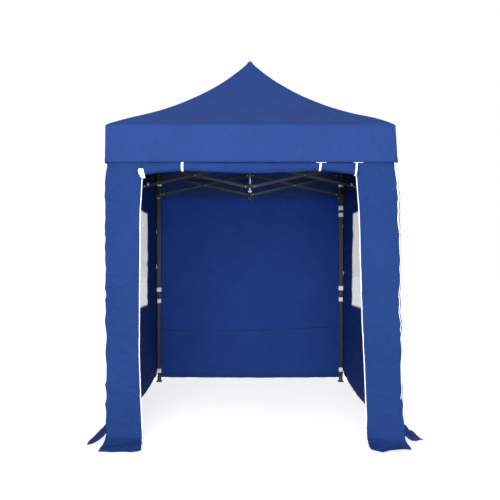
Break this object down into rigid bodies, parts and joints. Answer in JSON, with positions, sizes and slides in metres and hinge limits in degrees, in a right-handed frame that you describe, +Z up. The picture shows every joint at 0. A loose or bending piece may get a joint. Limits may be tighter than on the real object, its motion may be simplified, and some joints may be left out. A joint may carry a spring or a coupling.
{
  "type": "pop up canopy",
  "caption": "Square pop-up canopy: folding scissor frame on telescoping legs, pyramid roof cover with valance, and cloth walls with ground flaps and a rolled-up door.",
  "frame": {"origin": "middle of the footprint, on the ground that the feet stand on", "axes": "+Z up, -Y to the front with the doorway, +X to the right hand of someone facing the front"},
  "size_m": [2.3816, 2.3816, 3.0448],
  "materials": {
    "blue_cloth": "matte",
    "black_steel": "satin",
    "black_nylon": "satin",
    "zinc": "satin"
  },
  "bodies": {
    "centre_hub_and_pole": {"centre_hub_top": "black_nylon", "centre_pole": "black_steel"},
    "roof_truss_front_top_bar": {"roof_truss_front_top_bar": "black_steel"},
    "roof_truss_front_bottom_bar": {"roof_truss_front_bottom_bar": "black_steel"},
    "front_upper_bracket": {"front_upper_bracket": "black_nylon", "wall_front": "blue_cloth", "rolled_door": "blue_cloth"},
    "front_lower_bracket": {"front_lower_bracket": "black_nylon"},
    "centre_hub_bottom": {"centre_hub_bottom": "black_nylon"},
    "truss_front_high_bar_left": {"truss_front_high_bar_left": "black_steel"},
    "truss_front_low_bar_left": {"truss_front_low_bar_left": "black_steel"},
    "truss_front_high_bar_right": {"truss_front_high_bar_right": "black_steel"},
    "truss_front_low_bar_right": {"truss_front_low_bar_right": "black_steel"},
    "leg_front_left": {"leg_front_left": "black_steel"},
    "slider_front_left": {"slider_front_left": "black_nylon"},
    "inner_leg_front_left": {"inner_leg_front_left": "black_steel"},
    "slider_pin_front_left": {"slider_pin_front_left": "zinc"},
    "roof_cover_front": {"roof_cover_front": "blue_cloth"},
    "roof_truss_right_top_bar": {"roof_truss_right_top_bar": "black_steel"},
    "roof_truss_right_bottom_bar": {"roof_truss_right_bottom_bar": "black_steel"},
    "right_upper_bracket": {"right_upper_bracket": "black_nylon", "wall_right": "blue_cloth"},
    "right_lower_bracket": {"right_lower_bracket": "black_nylon"},
    "truss_right_high_bar_front": {"truss_right_high_bar_front": "black_steel"},
    "truss_right_low_bar_front": {"truss_right_low_bar_front": "black_steel"},
    "truss_right_high_bar_back": {"truss_right_high_bar_back": "black_steel"},
    "truss_right_low_bar_back": {"truss_right_low_bar_back": "black_steel"},
    "leg_front_right": {"leg_front_right": "black_steel"},
    "slider_front_right": {"slider_front_right": "black_nylon"},
    "inner_leg_front_right": {"inner_leg_front_right": "black_steel"},
    "slider_pin_front_right": {"slider_pin_front_right": "zinc"},
    "roof_cover_right": {"roof_cover_right": "blue_cloth"},
    "roof_truss_back_top_bar": {"roof_truss_back_top_bar": "black_steel"},
    "roof_truss_back_bottom_bar": {"roof_truss_back_bottom_bar": "black_steel"},
    "back_upper_bracket": {"back_upper_bracket": "black_nylon", "wall_back": "blue_cloth"},
    "back_lower_bracket": {"back_lower_bracket": "black_nylon"},
    "truss_back_high_bar_right": {"truss_back_high_bar_right": "black_steel"},
    "truss_back_low_bar_right": {"truss_back_low_bar_right": "black_steel"},
    "truss_back_high_bar_left": {"truss_back_high_bar_left": "black_steel"},
    "truss_back_low_bar_left": {"truss_back_low_bar_left": "black_steel"},
    "leg_back_right": {"leg_back_right": "black_steel"},
    "slider_back_right": {"slider_back_right": "black_nylon"},
    "inner_leg_back_right": {"inner_leg_back_right": "black_steel"},
    "slider_pin_back_right": {"slider_pin_back_right": "zinc"},
    "roof_cover_back": {"roof_cover_back": "blue_cloth"},
    "roof_truss_left_top_bar": {"roof_truss_left_top_bar": "black_steel"},
    "roof_truss_left_bottom_bar": {"roof_truss_left_bottom_bar": "black_steel"},
    "left_upper_bracket": {"left_upper_bracket": "black_nylon", "wall_left": "blue_cloth"},
    "left_lower_bracket": {"left_lower_bracket": "black_nylon"},
    "truss_left_high_bar_back": {"truss_left_high_bar_back": "black_steel"},
    "truss_left_low_bar_back": {"truss_left_low_bar_back": "black_steel"},
    "truss_left_high_bar_front": {"truss_left_high_bar_front": "black_steel"},
    "truss_left_low_bar_front": {"truss_left_low_bar_front": "black_steel"},
    "leg_back_left": {"leg_back_left": "black_steel"},
    "slider_back_left": {"slider_back_left": "black_nylon"},
    "inner_leg_back_left": {"inner_leg_back_left": "black_steel"},
    "slider_pin_back_left": {"slider_pin_back_left": "zinc"},
    "roof_cover_left": {"roof_cover_left": "blue_cloth"}
  },
  "joints": [
    {"name": "frame_fold", "type": "hinge", "parent": "centre_hub_and_pole", "child": "roof_truss_front_top_bar", "pos_m": [0.007, -0.04, 2.14], "axis": [1, 0, 0], "range_deg": [0, 74], "deforming": ["wall_front", "wall_right", "wall_back", "wall_left", "rolled_door", "roof_cover_front", "roof_cover_right", "roof_cover_back", "roof_cover_left"]},
    {"name": "front_roof_truss_cross", "type": "hinge", "parent": "roof_truss_front_top_bar", "child": "roof_truss_front_bottom_bar", "pos_m": [0, -0.4875, 2.04], "axis": [1, 0, 0], "range_deg": [-148, 0]},
    {"name": "front_lower_bracket_hinge", "type": "hinge", "parent": "roof_truss_front_top_bar", "child": "front_lower_bracket", "pos_m": [0.007, -0.935, 1.94], "axis": [1, 0, 0], "range_deg": [-74, 0]},
    {"name": "front_upper_bracket_hinge", "type": "hinge", "parent": "roof_truss_front_bottom_bar", "child": "front_upper_bracket", "pos_m": [-0.007, -0.935, 2.14], "axis": [1, 0, 0], "range_deg": [0, 74]},
    {"name": "centre_hub_bottom_hinge", "type": "hinge", "parent": "roof_truss_front_bottom_bar", "child": "centre_hub_bottom", "pos_m": [-0.007, -0.04, 1.94], "axis": [1, 0, 0], "range_deg": [0, 74]},
    {"name": "truss_front_high_bar_left_hinge", "type": "hinge", "parent": "front_lower_bracket", "child": "truss_front_high_bar_left", "pos_m": [-0.03, -0.977, 2], "axis": [0, 1, 0], "range_deg": [0, 74]},
    {"name": "truss_front_low_bar_left_hinge", "type": "hinge", "parent": "front_upper_bracket", "child": "truss_front_low_bar_left", "pos_m": [-0.03, -0.963, 2.2], "axis": [0, -1, 0], "range_deg": [0, 74]},
    {"name": "truss_front_high_bar_right_hinge", "type": "hinge", "parent": "front_lower_bracket", "child": "truss_front_high_bar_right", "pos_m": [0.03, -0.977, 2], "axis": [0, -1, 0], "range_deg": [0, 74]},
    {"name": "truss_front_low_bar_right_hinge", "type": "hinge", "parent": "front_upper_bracket", "child": "truss_front_low_bar_right", "pos_m": [0.03, -0.963, 2.2], "axis": [0, 1, 0], "range_deg": [0, 74]},
    {"name": "leg_front_left_hinge", "type": "hinge", "parent": "truss_front_high_bar_left", "child": "leg_front_left", "pos_m": [-0.925, -0.97, 2.2], "axis": [0, 1, 0], "range_deg": [-74, 0]},
    {"name": "slider_front_left_hinge", "type": "hinge", "parent": "truss_front_low_bar_left", "child": "slider_front_left", "pos_m": [-0.925, -0.97, 2], "axis": [0, -1, 0], "range_deg": [-74, 0]},
    {"name": "leg_height_front_left", "type": "slide", "parent": "leg_front_left", "child": "inner_leg_front_left", "axis": [0, 0, 1], "range_m": [0, 0.75]},
    {"name": "slider_pin_front_left_pull", "type": "slide", "parent": "slider_front_left", "child": "slider_pin_front_left", "axis": [1, 0, 0], "range_m": [0, 0.01], "stiffness_N_per_m": 300, "springref_m": -0.01},
    {"name": "roof_cover_front_fold", "type": "hinge", "parent": "centre_hub_and_pole", "child": "roof_cover_front", "pos_m": [0, 0, 3.05], "axis": [1, 0, 0], "range_deg": [0, 33]},
    {"name": "right_roof_truss_fold", "type": "hinge", "parent": "centre_hub_and_pole", "child": "roof_truss_right_top_bar", "pos_m": [0.04, 0.007, 2.14], "axis": [0, 1, 0], "range_deg": [0, 74]},
    {"name": "right_roof_truss_cross", "type": "hinge", "parent": "roof_truss_right_top_bar", "child": "roof_truss_right_bottom_bar", "pos_m": [0.4875, 0, 2.04], "axis": [0, 1, 0], "range_deg": [-148, 0]},
    {"name": "right_lower_bracket_hinge", "type": "hinge", "parent": "roof_truss_right_top_bar", "child": "right_lower_bracket", "pos_m": [0.935, 0.007, 1.94], "axis": [0, 1, 0], "range_deg": [-74, 0]},
    {"name": "right_upper_bracket_hinge", "type": "hinge", "parent": "roof_truss_right_bottom_bar", "child": "right_upper_bracket", "pos_m": [0.935, -0.007, 2.14], "axis": [0, 1, 0], "range_deg": [0, 74]},
    {"name": "truss_right_high_bar_front_hinge", "type": "hinge", "parent": "right_lower_bracket", "child": "truss_right_high_bar_front", "pos_m": [0.977, -0.03, 2], "axis": [-1, 0, 0], "range_deg": [0, 74]},
    {"name": "truss_right_low_bar_front_hinge", "type": "hinge", "parent": "right_upper_bracket", "child": "truss_right_low_bar_front", "pos_m": [0.963, -0.03, 2.2], "axis": [1, 0, 0], "range_deg": [0, 74]},
    {"name": "truss_right_high_bar_back_hinge", "type": "hinge", "parent": "right_lower_bracket", "child": "truss_right_high_bar_back", "pos_m": [0.977, 0.03, 2], "axis": [1, 0, 0], "range_deg": [0, 74]},
    {"name": "truss_right_low_bar_back_hinge", "type": "hinge", "parent": "right_upper_bracket", "child": "truss_right_low_bar_back", "pos_m": [0.963, 0.03, 2.2], "axis": [-1, 0, 0], "range_deg": [0, 74]},
    {"name": "leg_front_right_hinge", "type": "hinge", "parent": "truss_right_high_bar_front", "child": "leg_front_right", "pos_m": [0.97, -0.925, 2.2], "axis": [-1, 0, 0], "range_deg": [-74, 0]},
    {"name": "slider_front_right_hinge", "type": "hinge", "parent": "truss_right_low_bar_front", "child": "slider_front_right", "pos_m": [0.97, -0.925, 2], "axis": [1, 0, 0], "range_deg": [-74, 0]},
    {"name": "leg_height_front_right", "type": "slide", "parent": "leg_front_right", "child": "inner_leg_front_right", "axis": [0, 0, 1], "range_m": [0, 0.75]},
    {"name": "slider_pin_front_right_pull", "type": "slide", "parent": "slider_front_right", "child": "slider_pin_front_right", "axis": [0, 1, 0], "range_m": [0, 0.01], "stiffness_N_per_m": 300, "springref_m": -0.01},
    {"name": "roof_cover_right_fold", "type": "hinge", "parent": "centre_hub_and_pole", "child": "roof_cover_right", "pos_m": [0, 0, 3.05], "axis": [0, 1, 0], "range_deg": [0, 33]},
    {"name": "back_roof_truss_fold", "type": "hinge", "parent": "centre_hub_and_pole", "child": "roof_truss_back_top_bar", "pos_m": [-0.007, 0.04, 2.14], "axis": [-1, 0, 0], "range_deg": [0, 74]},
    {"name": "back_roof_truss_cross", "type": "hinge", "parent": "roof_truss_back_top_bar", "child": "roof_truss_back_bottom_bar", "pos_m": [0, 0.4875, 2.04], "axis": [-1, 0, 0], "range_deg": [-148, 0]},
    {"name": "back_lower_bracket_hinge", "type": "hinge", "parent": "roof_truss_back_top_bar", "child": "back_lower_bracket", "pos_m": [-0.007, 0.935, 1.94], "axis": [-1, 0, 0], "range_deg": [-74, 0]},
    {"name": "back_upper_bracket_hinge", "type": "hinge", "parent": "roof_truss_back_bottom_bar", "child": "back_upper_bracket", "pos_m": [0.007, 0.935, 2.14], "axis": [-1, 0, 0], "range_deg": [0, 74]},
    {"name": "truss_back_high_bar_right_hinge", "type": "hinge", "parent": "back_lower_bracket", "child": "truss_back_high_bar_right", "pos_m": [0.03, 0.977, 2], "axis": [0, -1, 0], "range_deg": [0, 74]},
    {"name": "truss_back_low_bar_right_hinge", "type": "hinge", "parent": "back_upper_bracket", "child": "truss_back_low_bar_right", "pos_m": [0.03, 0.963, 2.2], "axis": [0, 1, 0], "range_deg": [0, 74]},
    {"name": "truss_back_high_bar_left_hinge", "type": "hinge", "parent": "back_lower_bracket", "child": "truss_back_high_bar_left", "pos_m": [-0.03, 0.977, 2], "axis": [0, 1, 0], "range_deg": [0, 74]},
    {"name": "truss_back_low_bar_left_hinge", "type": "hinge", "parent": "back_upper_bracket", "child": "truss_back_low_bar_left", "pos_m": [-0.03, 0.963, 2.2], "axis": [0, -1, 0], "range_deg": [0, 74]},
    {"name": "leg_back_right_hinge", "type": "hinge", "parent": "truss_back_high_bar_right", "child": "leg_back_right", "pos_m": [0.925, 0.97, 2.2], "axis": [0, -1, 0], "range_deg": [-74, 0]},
    {"name": "slider_back_right_hinge", "type": "hinge", "parent": "truss_back_low_bar_right", "child": "slider_back_right", "pos_m": [0.925, 0.97, 2], "axis": [0, 1, 0], "range_deg": [-74, 0]},
    {"name": "leg_height_back_right", "type": "slide", "parent": "leg_back_right", "child": "inner_leg_back_right", "axis": [0, 0, 1], "range_m": [0, 0.75]},
    {"name": "slider_pin_back_right_pull", "type": "slide", "parent": "slider_back_right", "child": "slider_pin_back_right", "axis": [-1, 0, 0], "range_m": [0, 0.01], "stiffness_N_per_m": 300, "springref_m": -0.01},
    {"name": "roof_cover_back_fold", "type": "hinge", "parent": "centre_hub_and_pole", "child": "roof_cover_back", "pos_m": [0, 0, 3.05], "axis": [-1, 0, 0], "range_deg": [0, 33]},
    {"name": "left_roof_truss_fold", "type": "hinge", "parent": "centre_hub_and_pole", "child": "roof_truss_left_top_bar", "pos_m": [-0.04, -0.007, 2.14], "axis": [0, -1, 0], "range_deg": [0, 74]},
    {"name": "left_roof_truss_cross", "type": "hinge", "parent": "roof_truss_left_top_bar", "child": "roof_truss_left_bottom_bar", "pos_m": [-0.4875, 0, 2.04], "axis": [0, -1, 0], "range_deg": [-148, 0]},
    {"name": "left_lower_bracket_hinge", "type": "hinge", "parent": "roof_truss_left_top_bar", "child": "left_lower_bracket", "pos_m": [-0.935, -0.007, 1.94], "axis": [0, -1, 0], "range_deg": [-74, 0]},
    {"name": "left_upper_bracket_hinge", "type": "hinge", "parent": "roof_truss_left_bottom_bar", "child": "left_upper_bracket", "pos_m": [-0.935, 0.007, 2.14], "axis": [0, -1, 0], "range_deg": [0, 74]},
    {"name": "truss_left_high_bar_back_hinge", "type": "hinge", "parent": "left_lower_bracket", "child": "truss_left_high_bar_back", "pos_m": [-0.977, 0.03, 2], "axis": [1, 0, 0], "range_deg": [0, 74]},
    {"name": "truss_left_low_bar_back_hinge", "type": "hinge", "parent": "left_upper_bracket", "child": "truss_left_low_bar_back", "pos_m": [-0.963, 0.03, 2.2], "axis": [-1, 0, 0], "range_deg": [0, 74]},
    {"name": "truss_left_high_bar_front_hinge", "type": "hinge", "parent": "left_lower_bracket", "child": "truss_left_high_bar_front", "pos_m": [-0.977, -0.03, 2], "axis": [-1, 0, 0], "range_deg": [0, 74]},
    {"name": "truss_left_low_bar_front_hinge", "type": "hinge", "parent": "left_upper_bracket", "child": "truss_left_low_bar_front", "pos_m": [-0.963, -0.03, 2.2], "axis": [1, 0, 0], "range_deg": [0, 74]},
    {"name": "leg_back_left_hinge", "type": "hinge", "parent": "truss_left_high_bar_back", "child": "leg_back_left", "pos_m": [-0.97, 0.925, 2.2], "axis": [1, 0, 0], "range_deg": [-74, 0]},
    {"name": "slider_back_left_hinge", "type": "hinge", "parent": "truss_left_low_bar_back", "child": "slider_back_left", "pos_m": [-0.97, 0.925, 2], "axis": [-1, 0, 0], "range_deg": [-74, 0]},
    {"name": "leg_height_back_left", "type": "slide", "parent": "leg_back_left", "child": "inner_leg_back_left", "axis": [0, 0, 1], "range_m": [0, 0.75]},
    {"name": "slider_pin_back_left_pull", "type": "slide", "parent": "slider_back_left", "child": "slider_pin_back_left", "axis": [0, -1, 0], "range_m": [0, 0.01], "stiffness_N_per_m": 300, "springref_m": -0.01},
    {"name": "roof_cover_left_fold", "type": "hinge", "parent": "centre_hub_and_pole", "child": "roof_cover_left", "pos_m": [0, 0, 3.05], "axis": [0, -1, 0], "range_deg": [0, 33]}
  ],
  "couplings": [
    {"joint": "front_roof_truss_cross", "follows": "frame_fold", "ratio": -2},
    {"joint": "front_lower_bracket_hinge", "follows": "frame_fold", "ratio": -1},
    {"joint": "front_upper_bracket_hinge", "follows": "frame_fold", "ratio": 1},
    {"joint": "centre_hub_bottom_hinge", "follows": "frame_fold", "ratio": 1},
    {"joint": "truss_front_high_bar_left_hinge", "follows": "frame_fold", "ratio": 1},
    {"joint": "truss_front_low_bar_left_hinge", "follows": "frame_fold", "ratio": 1},
    {"joint": "truss_front_high_bar_right_hinge", "follows": "frame_fold", "ratio": 1},
    {"joint": "truss_front_low_bar_right_hinge", "follows": "frame_fold", "ratio": 1},
    {"joint": "leg_front_left_hinge", "follows": "frame_fold", "ratio": -1},
    {"joint": "slider_front_left_hinge", "follows": "frame_fold", "ratio": -1},
    {"joint": "roof_cover_front_fold", "follows": "frame_fold", "ratio": 0.44595},
    {"joint": "right_roof_truss_fold", "follows": "frame_fold", "ratio": 1},
    {"joint": "right_roof_truss_cross", "follows": "frame_fold", "ratio": -2},
    {"joint": "right_lower_bracket_hinge", "follows": "frame_fold", "ratio": -1},
    {"joint": "right_upper_bracket_hinge", "follows": "frame_fold", "ratio": 1},
    {"joint": "truss_right_high_bar_front_hinge", "follows": "frame_fold", "ratio": 1},
    {"joint": "truss_right_low_bar_front_hinge", "follows": "frame_fold", "ratio": 1},
    {"joint": "truss_right_high_bar_back_hinge", "follows": "frame_fold", "ratio": 1},
    {"joint": "truss_right_low_bar_back_hinge", "follows": "frame_fold", "ratio": 1},
    {"joint": "leg_front_right_hinge", "follows": "frame_fold", "ratio": -1},
    {"joint": "slider_front_right_hinge", "follows": "frame_fold", "ratio": -1},
    {"joint": "roof_cover_right_fold", "follows": "frame_fold", "ratio": 0.44595},
    {"joint": "back_roof_truss_fold", "follows": "frame_fold", "ratio": 1},
    {"joint": "back_roof_truss_cross", "follows": "frame_fold", "ratio": -2},
    {"joint": "back_lower_bracket_hinge", "follows": "frame_fold", "ratio": -1},
    {"joint": "back_upper_bracket_hinge", "follows": "frame_fold", "ratio": 1},
    {"joint": "truss_back_high_bar_right_hinge", "follows": "frame_fold", "ratio": 1},
    {"joint": "truss_back_low_bar_right_hinge", "follows": "frame_fold", "ratio": 1},
    {"joint": "truss_back_high_bar_left_hinge", "follows": "frame_fold", "ratio": 1},
    {"joint": "truss_back_low_bar_left_hinge", "follows": "frame_fold", "ratio": 1},
    {"joint": "leg_back_right_hinge", "follows": "frame_fold", "ratio": -1},
    {"joint": "slider_back_right_hinge", "follows": "frame_fold", "ratio": -1},
    {"joint": "roof_cover_back_fold", "follows": "frame_fold", "ratio": 0.44595},
    {"joint": "left_roof_truss_fold", "follows": "frame_fold", "ratio": 1},
    {"joint": "left_roof_truss_cross", "follows": "frame_fold", "ratio": -2},
    {"joint": "left_lower_bracket_hinge", "follows": "frame_fold", "ratio": -1},
    {"joint": "left_upper_bracket_hinge", "follows": "frame_fold", "ratio": 1},
    {"joint": "truss_left_high_bar_back_hinge", "follows": "frame_fold", "ratio": 1},
    {"joint": "truss_left_low_bar_back_hinge", "follows": "frame_fold", "ratio": 1},
    {"joint": "truss_left_high_bar_front_hinge", "follows": "frame_fold", "ratio": 1},
    {"joint": "truss_left_low_bar_front_hinge", "follows": "frame_fold", "ratio": 1},
    {"joint": "leg_back_left_hinge", "follows": "frame_fold", "ratio": -1},
    {"joint": "slider_back_left_hinge", "follows": "frame_fold", "ratio": -1},
    {"joint": "roof_cover_left_fold", "follows": "frame_fold", "ratio": 0.44595}
  ]
}
